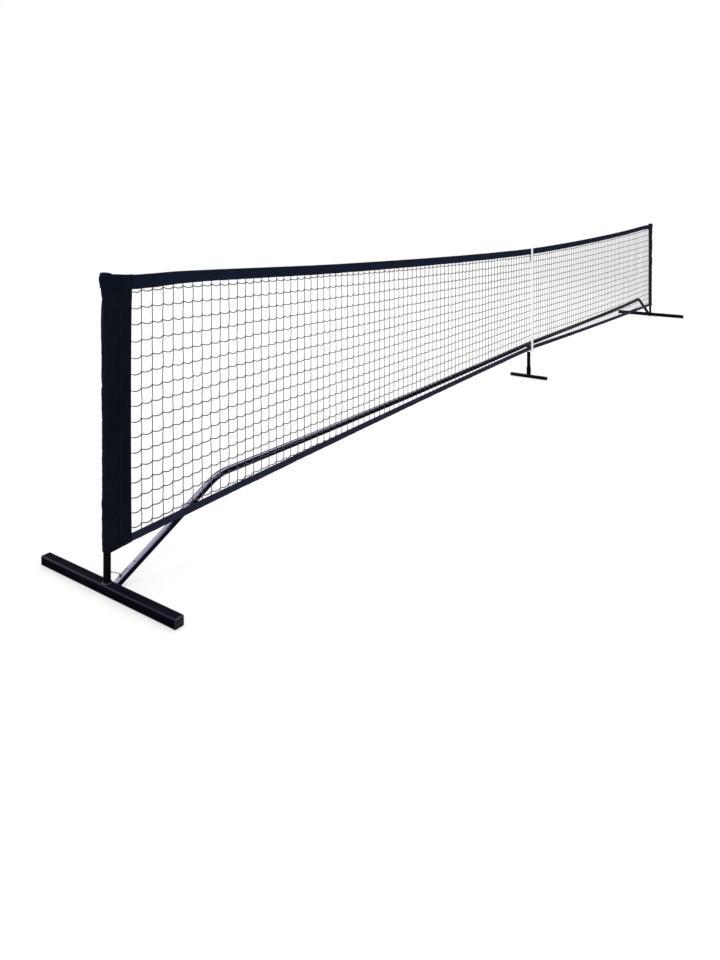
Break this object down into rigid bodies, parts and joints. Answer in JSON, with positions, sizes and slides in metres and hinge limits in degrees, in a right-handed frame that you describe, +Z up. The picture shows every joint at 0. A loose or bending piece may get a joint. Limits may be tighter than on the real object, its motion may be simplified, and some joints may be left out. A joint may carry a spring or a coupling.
{
  "type": "pickleball portable net",
  "caption": "Free-standing portable court net: tube frame on floor feet, end posts, and a mesh net with top band, end sleeves, bottom tape and a white centre strap.",
  "frame": {"origin": "on the ground under the middle of the net", "axes": "+X along the net to the right end, +Y to the net's back, +Z up"},
  "size_m": [6.7616, 0.6146, 0.938],
  "materials": {
    "black_paint": "gloss powder coat",
    "black_plastic": "moulded, fine grain",
    "button_zinc": "zinc plated",
    "navy_fabric": "woven polyester, matt",
    "net_thread": "twisted polyethylene thread",
    "white_webbing": "woven webbing",
    "grey_cord": "braided elastic cord"
  },
  "bodies": {
    "frame": {"left_foot_bar": "black_paint", "left_foot_cap_front": "black_plastic", "left_foot_cap_back": "black_plastic", "left_post_spigot": "black_paint", "left_rail_stub": "black_paint", "left_bend_tube": "black_paint", "left_outer_rail": "black_paint", "left_middle_rail": "black_paint", "left_inner_rail": "black_paint", "left_shock_cord": "grey_cord", "left_tether_cord": "grey_cord", "left_tether_bead": "black_plastic", "right_foot_bar": "black_paint", "right_foot_cap_front": "black_plastic", "right_foot_cap_back": "black_plastic", "right_post_spigot": "black_paint", "right_rail_stub": "black_paint", "right_bend_tube": "black_paint", "right_outer_rail": "black_paint", "right_middle_rail": "black_paint", "right_inner_rail": "black_paint", "right_shock_cord": "grey_cord", "right_tether_cord": "grey_cord", "right_tether_bead": "black_plastic", "centre_tee": "black_paint", "centre_leg": "black_paint", "centre_foot_bar": "black_paint", "centre_foot_cap_front": "black_plastic", "centre_foot_cap_back": "black_plastic", "centre_foot_socket": "black_paint", "strap_anchor_loop": "white_webbing"},
    "posts": {"left_post": "black_paint", "left_post_cap": "black_plastic", "right_post": "black_paint", "right_post_cap": "black_plastic"},
    "net": {"top_band": "navy_fabric", "top_cord": "grey_cord", "net_mesh": "net_thread", "bottom_tape": "navy_fabric", "left_sleeve": "navy_fabric", "right_sleeve": "navy_fabric", "left_band_pocket": "navy_fabric", "right_band_pocket": "navy_fabric", "centre_strap": "white_webbing"},
    "left_rail_button": {"left_rail_button": "button_zinc"},
    "right_rail_button": {"right_rail_button": "button_zinc"},
    "left_tee_button": {"left_tee_button": "button_zinc"},
    "right_tee_button": {"right_tee_button": "button_zinc"},
    "centre_foot_button": {"centre_foot_button": "button_zinc"}
  },
  "joints": [
    {"name": "posts_lift", "type": "slide", "parent": "frame", "child": "posts", "axis": [0, 0, 1], "range_m": [0, 0.09]},
    {"name": "net_slide", "type": "slide", "parent": "posts", "child": "net", "axis": [0, 0, 1], "range_m": [0, 0.85]},
    {"name": "left_rail_button_press", "type": "slide", "parent": "frame", "child": "left_rail_button", "axis": [0.4298, 0, -0.9029], "range_m": [0, 0.005], "stiffness_N_per_m": 40, "springref_m": -0.001},
    {"name": "right_rail_button_press", "type": "slide", "parent": "frame", "child": "right_rail_button", "axis": [-0.4298, 0, -0.9029], "range_m": [0, 0.005], "stiffness_N_per_m": 40, "springref_m": -0.001},
    {"name": "left_tee_button_press", "type": "slide", "parent": "frame", "child": "left_tee_button", "axis": [0, -1, 0], "range_m": [0, 0.005], "stiffness_N_per_m": 40, "springref_m": -0.001},
    {"name": "right_tee_button_press", "type": "slide", "parent": "frame", "child": "right_tee_button", "axis": [0, -1, 0], "range_m": [0, 0.005], "stiffness_N_per_m": 40, "springref_m": -0.001},
    {"name": "centre_foot_button_press", "type": "slide", "parent": "frame", "child": "centre_foot_button", "axis": [0, 1, 0], "range_m": [0, 0.006], "stiffness_N_per_m": 40, "springref_m": -0.001}
  ]
}
